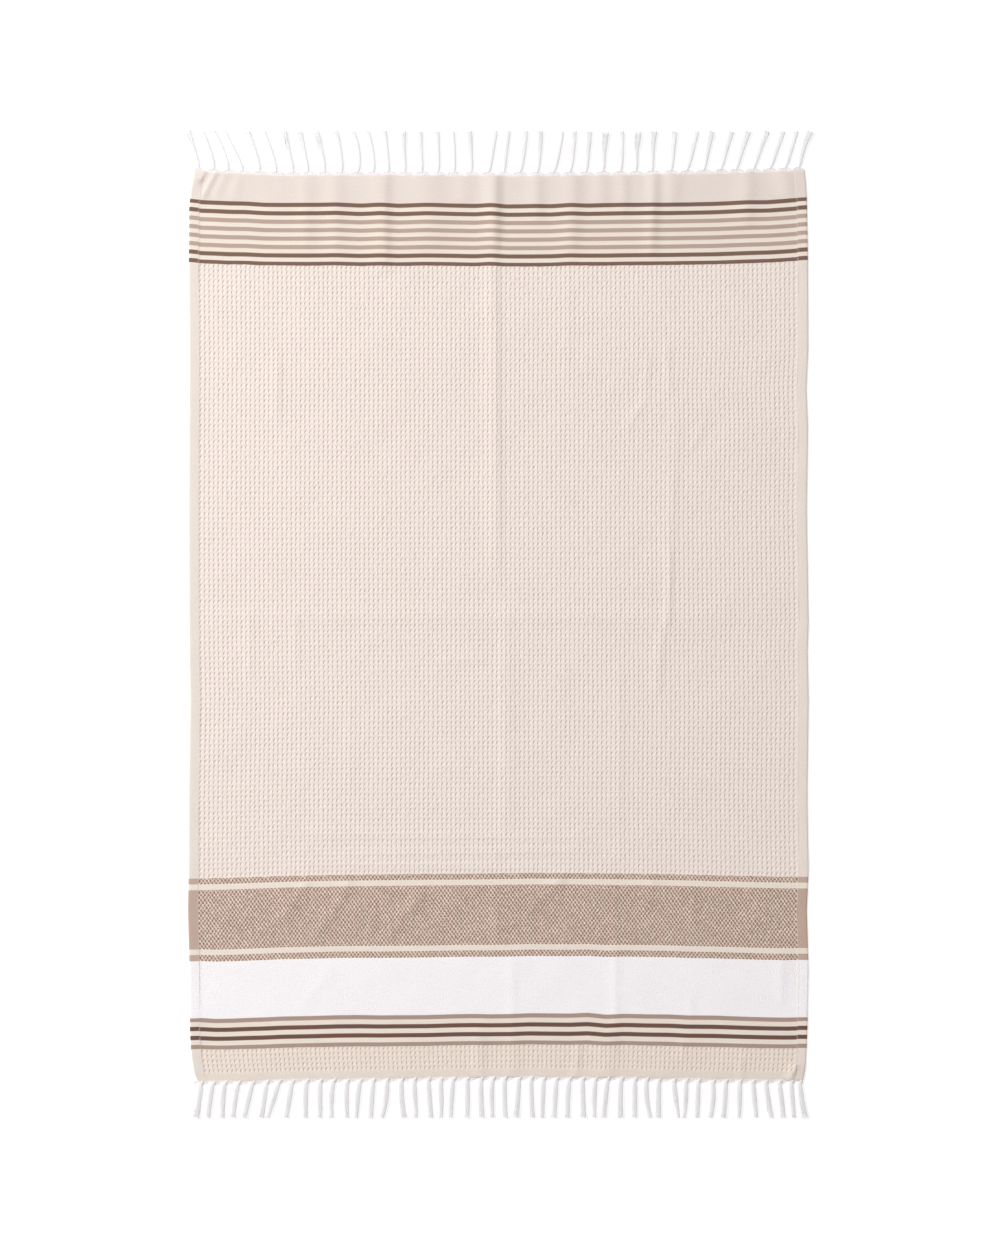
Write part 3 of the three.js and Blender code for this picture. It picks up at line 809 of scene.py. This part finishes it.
class Faces:
    """The cloth's faces on its grid of points, each with its material and its shading."""

    def __init__(self, weaves, cell_row, cell_column):
        self.weaves = weaves
        self.cell_row = cell_row
        self.cell_column = cell_column
        self.rows = len(cell_row)
        self.columns = len(cell_column)
        self.index = np.arange(self.rows * self.columns).reshape(self.rows, self.columns)
        self.low_points = {}
        self.corners = []
        self.material = []
        self.smooth = []

    def add(self, corners, kind, smooth=True):
        self.corners.append(tuple(int(corner) for corner in corners))
        self.material.append(MATERIAL_NUMBER[kind])
        self.smooth.append(smooth)

    def low(self, r, c):
        """The number of the underside's point below a point of the grid."""
        return self.low_points.setdefault((r, c), self.index.size + len(self.low_points))

    def add_upper_face(self):
        for r, weave in enumerate(self.weaves):
            for c in range(self.columns - 1):
                a, b = self.index[r, c : c + 2]
                e, d = self.index[r + 1, c : c + 2]
                in_field = self.cell_column[c] >= 0 and self.cell_column[c + 1] >= 0
                if not in_field:
                    self.add((a, e, d, b), HEM_MATERIAL.get(weave, weave))
                elif not weave.endswith("waffle"):
                    self.add((a, e, d, b), weave)
                # In a waffle, a sharp fold runs from each ridge crossing to the hollow.
                elif self.cell_row[r] % 2 == self.cell_column[c] % 2:
                    self.add((a, e, d), weave, smooth=False)
                    self.add((a, d, b), weave, smooth=False)
                else:
                    self.add((a, e, b), weave, smooth=False)
                    self.add((b, e, d), weave, smooth=False)

    def add_underside(self):
        """One face for each block of the grid, with every point at the rim kept."""
        last_row, last_column = self.rows - 1, self.columns - 1
        block_rows = [*range(0, last_row, UNDER_BLOCK), last_row]
        block_columns = [*range(0, last_column, UNDER_BLOCK), last_column]
        for r0, r1 in zip(block_rows, block_rows[1:]):
            for c0, c1 in zip(block_columns, block_columns[1:]):
                top_side = range(c0, c1) if r0 == 0 else [c0]
                right_side = range(r0, r1) if c1 == last_column else [r0]
                bottom_side = range(c1, c0, -1) if r1 == last_row else [c1]
                left_side = range(r1, r0, -1) if c0 == 0 else [r1]
                loop = [self.low(r0, c) for c in top_side] + [self.low(r, c1) for r in right_side]
                loop += [self.low(r1, c) for c in bottom_side] + [self.low(r, c0) for r in left_side]
                self.add(loop, self.weaves[(r0 + r1) // 2])

    def add_rim(self):
        """Joins the upper face and the underside."""
        last_row, last_column = self.rows - 1, self.columns - 1
        rim = [(0, c) for c in range(last_column)] + [(r, last_column) for r in range(last_row)]
        rim += [(last_row, c) for c in range(last_column, 0, -1)]
        rim += [(r, 0) for r in range(last_row, 0, -1)]
        for (r0, c0), (r1, c1) in zip(rim, rim[1:] + rim[:1]):
            weave = self.weaves[min(r0, r1, last_row - 1)]
            at_side = c0 == c1
            self.add(
                (self.index[r0, c0], self.index[r1, c1], self.low(r1, c1), self.low(r0, c0)),
                HEM_MATERIAL.get(weave, weave) if at_side else weave,
            )


def make_cloth():
    down, cell_row, weaves = cloth_rows()
    down = stripe_rows(down, weaves)
    across, cell_column = cloth_columns()
    relief, aside, up = waffle_relief(cell_row, cell_column, np.random.default_rng(7))
    x, y = cloth_places(across, down)
    x = x + aside
    y = y + up
    upper, lower = cloth_heights(x, y, across, relief)

    faces = Faces(weaves, cell_row, cell_column)
    faces.add_upper_face()
    faces.add_underside()
    faces.add_rim()
    below = list(faces.low_points)
    low_points = [(x[point], y[point], lower[point]) for point in below]
    points = np.concatenate([np.stack([x, y, upper], -1).reshape(-1, 3), low_points])
    mesh = bpy.data.meshes.new("cloth")
    mesh.from_pydata(placed(points).tolist(), [], faces.corners)
    for material in MATERIALS.values():
        mesh.materials.append(material)
    mesh.polygons.foreach_set("material_index", np.array(faces.material, np.int32))
    mesh.polygons.foreach_set("use_smooth", np.array(faces.smooth, bool))

    s, w = np.meshgrid(across, down)
    w = w + np.where(np.abs(s) > FIELD, HEM_SHIFT, 0)
    low_uv = [(s[point], w[point]) for point in below]
    uv = np.concatenate([np.stack([s, w], -1).reshape(-1, 2), low_uv]) * MM
    corners = np.zeros(len(mesh.loops), np.int32)
    mesh.loops.foreach_get("vertex_index", corners)
    mesh.uv_layers.new(name="weave").data.foreach_set("uv", uv[corners].ravel())
    mesh.validate()
    return added("woven_cloth", mesh)


cloth = make_cloth()

# ---------------------------------------------------------------- geometry node tools


def geometry_group(name, inputs, build):
    """A geometry node group with named inputs; build returns the geometry that it puts out."""
    group = bpy.data.node_groups.new(name, "GeometryNodeTree")
    group.interface.new_socket("Geometry", in_out="INPUT", socket_type="NodeSocketGeometry")
    for socket, kind in inputs:
        group.interface.new_socket(socket, in_out="INPUT", socket_type="NodeSocket" + kind)
    group.interface.new_socket("Geometry", in_out="OUTPUT", socket_type="NodeSocketGeometry")
    tree = Tree(group)
    start = tree.node("NodeGroupInput")
    end = tree.node("NodeGroupOutput")
    group.links.new(build(tree, start.outputs), end.inputs[0])
    return group


def grown(source, group, name, **values):
    """The plain mesh that a geometry node group makes of an object, which is then removed."""
    modifier = source.modifiers.new(group.name, "NODES")
    modifier.node_group = group
    identifiers = {
        item.name: item.identifier
        for item in group.interface.items_tree
        if item.item_type == "SOCKET" and item.in_out == "INPUT"
    }
    for key, value in values.items():
        modifier[identifiers[key.replace("_", " ")]] = value
    bpy.context.view_layer.update()
    evaluated = source.evaluated_get(bpy.context.evaluated_depsgraph_get())
    mesh = bpy.data.meshes.new_from_object(evaluated)
    mesh.name = name
    made = added(name, mesh)
    bpy.data.objects.remove(source)
    return made


def curve_object(name, splines):
    """Open curves from lists of (x, y, z, radius) in metres."""
    curve = bpy.data.curves.new(name, "CURVE")
    curve.dimensions = "3D"
    for points in splines:
        spline = curve.splines.new("POLY")
        spline.points.add(len(points) - 1)
        for point, (px, py, pz, radius) in zip(spline.points, points):
            point.co = (px, py, pz, 1)
            point.radius = radius
    return added(name, curve)


def stored(tree, geometry, name, value, kind, domain):
    """Keeps a value with the geometry, under a name by which named finds it."""
    inputs = {"Geometry": geometry, "Name": name, "Value": value}
    return tree.geometry("StoreNamedAttribute", inputs, data_type=kind, domain=domain)


def named(tree, name, kind="FLOAT"):
    return tree.geometry("InputNamedAttribute", {"Name": name}, data_type=kind)


def random_number(tree, low, high, **inputs):
    inputs = {2: low, 3: high, **inputs}
    return tree.node("FunctionNodeRandomValue", inputs, data_type="FLOAT").outputs[1]


def captured(tree, geometry, name, part):
    """Keeps how far along its spline each point lies, and puts out the geometry and that."""
    made = tree.node("GeometryNodeCaptureAttribute", {"Geometry": geometry}, domain="POINT")
    made.capture_items.new("FLOAT", name)
    tree.feed(made.inputs[name], tree.node("GeometryNodeSplineParameter").outputs[part])
    return made.outputs


def stored_weave(tree, geometry, across, along):
    """Keeps yarn coordinates on the mesh: turns round the yarn and metres along it."""
    return stored(tree, geometry, "weave", tree.joined(across, along), "FLOAT2", "CORNER")


def finished(tree, mesh, material):
    """The end of each tree: one smooth mesh of one material."""
    mesh = tree.geometry("RealizeInstances", {"Geometry": mesh})
    mesh = tree.geometry("SetShadeSmooth", {"Geometry": mesh})
    return tree.geometry("SetMaterial", {"Geometry": mesh, "Material": material})


# ---------------------------------------------------------------- fringes

FLATTEN = 0.46  # how flat a strand lies, its height to its width
YARNS_IN_STRAND = 16
YARN_RADIUS = 0.85
YARN_WANDER = 1.0  # how far a yarn strays at its strand's loose tip
WANDER_SHARES = (1.0, 0.6, 0.3)  # how much of that goes across, along and up
WANDER_FINENESS = 70.0
WANDER_FROM, WANDER_TO = 0.05, 0.8  # where along a strand it grows
YARN_SIDES = 5
FIBRES_IN_STRAND = 4  # loose fibres beside the yarns
FIBRE_RADIUS = 0.22
FIBRE_WANDER = 5
FIBRE_SIDES = 3
FIBRE_START = 12  # how far from the cloth's edge the fibres come loose
PATH_POINTS = 25  # on a strand's middle
STRAND_POINTS = 18  # on each of its yarns
SHORTEST_YARN = 0.955  # as a share of its strand
LEAST_TWIST, MOST_TWIST = -0.35, 0.55  # turns of the yarns round their strand
TAPER_FROM, TAPER = 0.92, 0.45  # where a yarn starts to thin, and how much it thins

ENDS_IN_FAN = 24  # warp ends that are drawn together into one strand
WARP_RADIUS = 0.55
FAN_MARGIN = 8  # from the cloth's long side to its first warp end
FAN_INSET, FAN_START = 3, 1.1  # how far under the cloth's edge they start, and how high
FAN_LOW, FAN_HIGH = 1.3, 1.2  # their height at the edge, and above a yarn's radius at the knot
FAN_POINTS = 7
KNOT_OVERLAP = 0.35  # how far each turn of a knot runs on beyond half a circle, in radians
KNOT_POINTS = 9
KNOT_SIDES = 6
TURN_STEP = 1.8  # from one turn of a knot to the next, as a share of its yarn's radius


def build_tubes(tree, given):
    """Makes each curve a round yarn, as thick as the curve's radius."""
    curves = captured(tree, given["Geometry"], "Travelled", "Length")
    circle = {"Resolution": given["Sides"], "Radius": 1.0}
    profile = tree.geometry("CurvePrimitiveCircle", circle, mode="RADIUS")
    ring = captured(tree, profile, "Turn", "Factor")
    mesh = tree.geometry("CurveToMesh", {
        "Curve": curves[0],
        "Profile Curve": ring[0],
        "Scale": tree.geometry("InputRadius"),
        "Fill Caps": True,
    })
    mesh = stored_weave(tree, mesh, ring["Turn"], curves["Travelled"])
    return finished(tree, mesh, given["Material"])


TUBES = geometry_group("yarn_tubes", [("Sides", "Int"), ("Material", "Material")], build_tubes)


def build_strand(tree, given):
    """Makes each curve a strand: yarns side by side round a flat ring, as wide at each point as
    the curve's radius says, turning a little on the way and looser towards the tip."""
    seed = given["Seed"]
    curves = {"Curve": given["Geometry"], "Count": STRAND_POINTS}
    curves = tree.geometry("ResampleCurve", curves, mode="COUNT")
    curves = stored(tree, curves, "half_width", tree.geometry("InputRadius"), "FLOAT", "POINT")
    curves = stored(tree, curves, "strand", tree.geometry("InputIndex"), "INT", "CURVE")
    copies = {"Geometry": curves, "Amount": given["Yarns"]}
    yarns, copy = tree.node("GeometryNodeDuplicateElements", copies, domain="SPLINE").outputs[:2]
    yarns = stored(tree, yarns, "yarn", copy, "INT", "CURVE")
    length = random_number(tree, SHORTEST_YARN, 1.0, Seed=seed)
    yarns = tree.geometry("TrimCurve", {"Curve": yarns, "End": length}, mode="FACTOR")

    # Where each yarn lies round the ring.
    yarn = named(tree, "yarn", "INT")
    strand = named(tree, "strand", "INT")
    half = named(tree, "half_width")
    along = tree.geometry("SplineParameter")
    first_angle = random_number(tree, 0.0, 2 * math.pi, ID=strand, Seed=seed)
    next_seed = tree.math("ADD", seed, 1.0)
    turns = random_number(tree, LEAST_TWIST, MOST_TWIST, ID=strand, Seed=next_seed)
    angle = tree.math("MULTIPLY", tree.math("DIVIDE", yarn, given["Yarns"]), 2 * math.pi)
    angle = tree.math("ADD", angle, first_angle)
    angle = tree.math("MULTIPLY_ADD", tree.math("MULTIPLY", along, turns), 2 * math.pi, angle)
    aside = tree.math("MULTIPLY", tree.math("COSINE", angle), half)
    up = tree.math("MULTIPLY", tree.math("MULTIPLY", tree.math("SINE", angle), half), FLATTEN)
    side = tree.vector("CROSS_PRODUCT", tree.geometry("InputTangent"), (0, 0, 1))
    sideways = tree.vector("SCALE", side, Scale=aside)
    moved = tree.vector("ADD", sideways, tree.joined(z=up))

    # How it strays from there.
    place = tree.geometry("InputPosition")
    noise = tree.node("ShaderNodeTexNoise", {
        "Vector": place, "W": tree.math("MULTIPLY", yarn, 3.7), "Scale": WANDER_FINENESS, "Detail": 1.0,
    }, noise_dimensions="4D").outputs["Color"]
    loose = tree.math("MULTIPLY", given["Wander"], tree.smooth(along, WANDER_FROM, WANDER_TO))
    wander = tree.vector("SCALE", tree.vector("SUBTRACT", noise, (0.5, 0.5, 0.5)), Scale=loose)
    moved = tree.vector("ADD", moved, tree.vector("MULTIPLY", wander, WANDER_SHARES))
    x, y, z = tree.split(tree.vector("ADD", place, moved))
    # No yarn dips into the floor.
    place = tree.joined(x, y, tree.math("MAXIMUM", z, given["Yarn Radius"]))
    yarns = tree.geometry("SetPosition", {"Geometry": yarns, "Position": place})

    thinner = tree.math("MULTIPLY_ADD", tree.smooth(along, TAPER_FROM, 1.0), -TAPER, 1.0)
    thick = tree.math("MULTIPLY", given["Yarn Radius"], thinner)
    yarns = tree.geometry("SetCurveRadius", {"Curve": yarns, "Radius": thick})
    tubes = {"Geometry": yarns, "Sides": given["Sides"], "Material": given["Material"]}
    return tree.geometry("Group", tubes, node_tree=TUBES)


STRAND = geometry_group(
    "strand_of_yarns",
    [("Yarns", "Int"), ("Yarn Radius", "Float"), ("Sides", "Int"), ("Wander", "Float"),
     ("Seed", "Int"), ("Material", "Material")],
    build_strand,
)


class Fringe:
    """One end's fringe. sections gives a strand's half-width at distances from the cloth's edge;
    pinch is how far from the edge the warp ends meet, and pinch_width their half-width there.
    They leave the cloth straight out if domed is true, and turn along its edge if not, after
    running out for a length of lip. aside moves all the strands to the right."""

    def __init__(
        self, name, strands, end, outward, tip, sections, pinch, pinch_width, domed, lip, aside,
    ):
        self.name = name
        self.strands = strands
        self.end = end
        self.outward = outward
        self.tip = tip
        self.sections = sections
        self.pinch = pinch
        self.pinch_width = pinch_width
        self.domed = domed
        self.lip = lip
        self.aside = aside

    def edge(self, x):
        return read(ENDS, "x", self.end, x)

    def whole(self, strand):
        """The length of a strand from the cloth's edge to its tip."""
        return abs(self.outward * self.tip - self.edge(strand[0]))

    def centre(self, strand, reach):
        """The place of a strand's middle at a distance from the cloth's edge."""
        root, tip_x, bow, _ = strand
        share = reach / self.whole(strand)
        x = root + (tip_x - root) * share + bow * 4 * share * (1 - share)
        return x + self.aside, self.edge(root) + self.outward * reach

    def half_width(self, strand, reach):
        """The half-width of the ring on which the middles of the yarns lie."""
        places = [place for place, _ in self.sections] + [self.whole(strand)]
        widths = [width for _, width in self.sections] + [strand[3] / 2]
        return np.interp(reach, places, widths) - YARN_RADIUS

    def strung(self, what, start, **values):
        """Yarns or fibres along each strand's middle, from a distance from the edge to its tip."""
        splines = []
        for strand in self.strands:
            points = []
            for reach in np.linspace(start, self.whole(strand), PATH_POINTS):
                x, y = self.centre(strand, reach)
                half = self.half_width(strand, reach)
                points.append((*placed((x, y, YARN_RADIUS + FLATTEN * half)), half * MM))
            splines.append(points)
        source = curve_object(self.name + "_paths", splines)
        return grown(source, STRAND, self.name + what, Material=YARN, **values)

    def yarns(self, seed):
        return self.strung(
            "_yarns", self.sections[0][0], Yarns=YARNS_IN_STRAND, Yarn_Radius=YARN_RADIUS * MM,
            Sides=YARN_SIDES, Wander=YARN_WANDER * MM, Seed=seed,
        )

    def fibres(self, seed):
        """Thin fibres that stray from the strands."""
        return self.strung(
            "_fibres", FIBRE_START, Yarns=FIBRES_IN_STRAND, Yarn_Radius=FIBRE_RADIUS * MM,
            Sides=FIBRE_SIDES, Wander=FIBRE_WANDER * MM, Seed=seed,
        )

    def roots(self, seed):
        """The warp ends between the cloth's edge and the knots, drawn together in fans."""
        rng = np.random.default_rng(seed)
        splines = []
        at = [strand[0] for strand in self.strands]
        middles = [(a + b) / 2 for a, b in zip(at, at[1:])]
        lefts = [-HALF + FAN_MARGIN] + middles
        rights = middles + [HALF - FAN_MARGIN]
        for strand, left, right in zip(self.strands, lefts, rights):
            end_x, end_y = self.centre(strand, self.pinch)
            for i in range(ENDS_IN_FAN):
                share = (i + 0.5) / ENDS_IN_FAN
                start_x = left + (right - left) * share + rng.uniform(-0.4, 0.4)
                edge_y = self.edge(start_x)
                start_y = edge_y + self.outward * self.lip
                to_x = end_x + self.pinch_width * (2 * share - 1)
                top_z = YARN_RADIUS + FAN_HIGH + rng.uniform(-0.7, 0.7)
                places = [(start_x, edge_y - self.outward * FAN_INSET, FAN_START)]
                for t in np.linspace(0, math.pi / 2, FAN_POINTS):
                    inward, out = math.sin(t), 1 - math.cos(t)
                    if self.domed:
                        inward, out = out, inward
                    x = start_x + (to_x - start_x) * inward
                    y = start_y + (end_y - start_y) * out
                    places.append((x, y, FAN_LOW + (top_z - FAN_LOW) * math.sin(t)))
                splines.append([(*placed(place), WARP_RADIUS * MM) for place in places])
        source = curve_object(self.name + "_warp", splines)
        return grown(source, TUBES, self.name + "_roots", Sides=YARN_SIDES, Material=WARP)

    def knots(self, seed, reach, half_width, low, height, radius, turns, slope):
        """Turns of yarn wound tight round each strand, from low at its sides to height at its
        middle. slope is how much a turn climbs towards the right."""
        rng = np.random.default_rng(seed)
        splines = []
        for strand in self.strands:
            x, y = self.centre(strand, reach + rng.uniform(-0.5, 0.5))
            lean = slope + rng.uniform(-0.15, 0.15)
            for turn in range(turns):
                shift = (turn - (turns - 1) / 2) * TURN_STEP * radius
                points = []
                for angle in np.linspace(-KNOT_OVERLAP, math.pi + KNOT_OVERLAP, KNOT_POINTS):
                    aside = half_width * math.cos(angle)
                    up = low + (height - low) * math.sin(angle)
                    place = (x + aside, y + shift + lean * aside, up)
                    points.append((*placed(place), radius * MM))
                splines.append(points)
        source = curve_object(self.name + "_turns", splines)
        return grown(source, TUBES, self.name + "_knots", Sides=KNOT_SIDES, Material=KNOT)

    def pieces(self, seed, **knot):
        made = self.yarns(seed), self.fibres(seed + 2), self.roots(seed + 4)
        return *made, self.knots(seed + 6, **knot)


TOP_FRINGE = Fringe(
    "top_fringe", TOP_STRANDS, "top", 1, TOP_TIP + 4,
    sections=[(4.4, 2.0), (7, 3.2), (11, 4.1), (19, 4.5), (32, 4.7)],
    pinch=5.2, pinch_width=1.4, domed=True, lip=-0.2, aside=-0.8,
)
BOTTOM_FRINGE = Fringe(
    "bottom_fringe", BOTTOM_STRANDS, "bottom", -1, BOTTOM_TIP,
    sections=[(1, 3.9), (4, 4.7), (10, 5.1), (14, 5.3), (32, 5.4)],
    pinch=8.5, pinch_width=3.6, domed=False, lip=2.6, aside=-2,
)
top_fringe, top_fibres, top_roots, top_knots = TOP_FRINGE.pieces(
    11, reach=5.4, half_width=1.7, low=1.2, height=3.4, radius=0.5, turns=2, slope=0.3,
)
bottom_fringe, bottom_fibres, bottom_roots, bottom_knots = BOTTOM_FRINGE.pieces(
    12, reach=1.8, half_width=5.0, low=1.4, height=3.9, radius=1.1, turns=2, slope=0.5,
)

# ---------------------------------------------------------------- hem stitches

STITCH_PITCH = 3.9
STITCH_REACH = 1.35  # half a stitch's length
STITCH_CROWN = 0.28  # how far its middle stands above its ends
STITCH_RADIUS = 0.42
STITCH_LINE = 0.9  # from a hem's inner edge to the row of stitches on it
STITCH_RISE = 0.2  # how far a stitch's ends lie above the cloth
LAST_STITCH = 727  # how far from the middle of the cloth the rows end


def tube_mesh(name, path, radius, sides=6):
    """A closed tube with slender ends along a list of points, in metres."""
    path = np.array(path, float)
    tangent = np.gradient(path, axis=0)
    tangent /= np.linalg.norm(tangent, axis=1)[:, None]
    side = np.cross(tangent, [0.31, 0.17, 0.93])
    side /= np.linalg.norm(side, axis=1)[:, None]
    other = np.cross(tangent, side)
    angles = np.linspace(0, 2 * math.pi, sides, endpoint=False)
    taper = np.ones(len(path))
    taper[[0, -1]] = 0.5
    rings = [
        path[i] + radius * taper[i] * (math.cos(a) * side[i] + math.sin(a) * other[i])
        for i in range(len(path)) for a in angles
    ]
    faces = []
    for ring in range(0, (len(path) - 1) * sides, sides):
        for k in range(sides):
            m = (k + 1) % sides
            faces.append((ring + k, ring + m, ring + sides + m, ring + sides + k))
    faces.append(tuple(reversed(range(sides))))
    faces.append(tuple(range(len(rings) - sides, len(rings))))
    mesh = bpy.data.meshes.new(name)
    mesh.from_pydata([tuple(v) for v in rings], [], faces)
    return added(name, mesh)


def build_scatter(tree, given):
    """Sets a small shape on each point, turned by the point's own angle and sized by its own size."""
    shape = tree.node("GeometryNodeObjectInfo", {"Object": given["Shape"]}, transform_space="ORIGINAL")
    instances = tree.geometry("InstanceOnPoints", {
        "Points": given["Geometry"],
        "Instance": stored_weave(tree, shape.outputs["Geometry"], 0.0, 0.0),
        "Rotation": tree.joined(z=named(tree, "turn")),
        "Scale": named(tree, "size"),
    })
    return finished(tree, instances, given["Material"])


SCATTER = geometry_group(
    "set_on_points", [("Shape", "Object"), ("Material", "Material")], build_scatter,
)


def make_stitches():
    """A row of short stitches down the inner edge of each hem."""
    path = [
        (0.0, t * STITCH_REACH * MM, STITCH_CROWN * MM * (1 - t * t)) for t in np.linspace(-1, 1, 5)
    ]
    stitch = tube_mesh("stitch_shape", path, STITCH_RADIUS * MM)
    rng = np.random.default_rng(31)
    places, turns, sizes = [], [], []
    for side, hem in (-1, "left"), (1, "right"):
        across = side * (FIELD + STITCH_LINE)
        for y in np.arange(-LAST_STITCH, LAST_STITCH, STITCH_PITCH):
            inset = read(SIDES, "y", hem, y)
            x = across - side * inset * abs(across) / HALF + rng.uniform(-0.2, 0.2)
            z = float(crease_height(np.array([x]), np.array([y]))[0]) + CLOTH_THICKNESS + STITCH_RISE
            places.append((x, y, z))
            turns.append(rng.uniform(-0.12, 0.12))
            sizes.append(rng.uniform(0.9, 1.1))
    mesh = bpy.data.meshes.new("stitch_places")
    mesh.from_pydata(placed(places).tolist(), [], [])
    for name, values in (("turn", turns), ("size", sizes)):
        mesh.attributes.new(name, "FLOAT", "POINT").data.foreach_set("value", values)
    source = added("stitch_places", mesh)
    made = grown(source, SCATTER, "hem_stitches", Shape=stitch, Material=THREAD)
    bpy.data.objects.remove(stitch)
    return made


stitches = make_stitches()

# ---------------------------------------------------------------- floor, light and camera

FLOOR_REACH = 12.0
FLOOR_DROP = 0.0002  # how far the floor lies under the cloth
LIGHT_PLACE = (-4.6, 2.53, 4.14)  # in metres, as its size is
LIGHT_SIZE = 1.8
LIGHT_POWER = 368  # in watts
ROOM_LIGHT = 0.56
LENS = 100
SENSOR = 36
FRAME_HEIGHT = 2.0259  # how much of the floor's length the camera takes in, in metres
FRAME_MIDDLE = (2.8, 2.1, 0)  # the point below the camera, in millimetres on the cloth


def make_floor():
    """A wide pale floor with a little light of its own, so that it stays nearly white."""
    mesh = bpy.data.meshes.new("floor")
    reach = FLOOR_REACH
    corners = [(-reach, -reach, 0), (reach, -reach, 0), (reach, reach, 0), (-reach, reach, 0)]
    mesh.from_pydata(corners, [], [(0, 1, 2, 3)])
    material = bpy.data.materials.new("pale_floor")
    material.use_nodes = True
    for socket, value in {
        "Base Color": (0.92, 0.92, 0.93, 1),
        "Roughness": 0.9,
        "Specular IOR Level": 0.0,
        "Emission Color": (1, 1, 1, 1),
        "Emission Strength": 0.35,
    }.items():
        material.node_tree.nodes["Principled BSDF"].inputs[socket].default_value = value
    mesh.materials.append(material)
    floor = added("floor", mesh)
    floor.location = (0, 0, -FLOOR_DROP)
    return floor


def make_stage():
    """A window to the upper left, a bright room, and the camera straight above the towel."""
    light = bpy.data.lights.new("window_light", "AREA")
    light.shape = "SQUARE"
    light.size = LIGHT_SIZE
    light.energy = LIGHT_POWER
    window = added("window_light", light)
    window.location = LIGHT_PLACE
    window.rotation_mode = "QUATERNION"
    window.rotation_quaternion = (-Vector(LIGHT_PLACE)).to_track_quat("-Z", "Y")

    world = bpy.data.worlds.new("room")
    world.use_nodes = True
    background = world.node_tree.nodes["Background"]
    background.inputs["Color"].default_value = (1.0, 0.99, 0.98, 1)
    background.inputs["Strength"].default_value = ROOM_LIGHT
    scene = bpy.context.scene
    scene.world = world
    scene.view_settings.view_transform = "Standard"

    camera = bpy.data.cameras.new("camera")
    camera.lens = LENS
    camera.sensor_width = SENSOR
    scene.camera = added("camera", camera)
    x, y, _ = placed(FRAME_MIDDLE)
    scene.camera.location = (x, y, FRAME_HEIGHT * LENS / SENSOR)


floor = make_floor()
make_stage()

# ---------------------------------------------------------------- the frame's pieces

FRINGE_PARTS = [
    top_fringe, top_fibres, top_roots, top_knots,
    bottom_fringe, bottom_fibres, bottom_roots, bottom_knots,
]
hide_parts("cloth")
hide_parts("fringe_top")
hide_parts("fringe_bottom")
for piece in (cloth, stitches, *FRINGE_PARTS):
    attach(piece, "root")
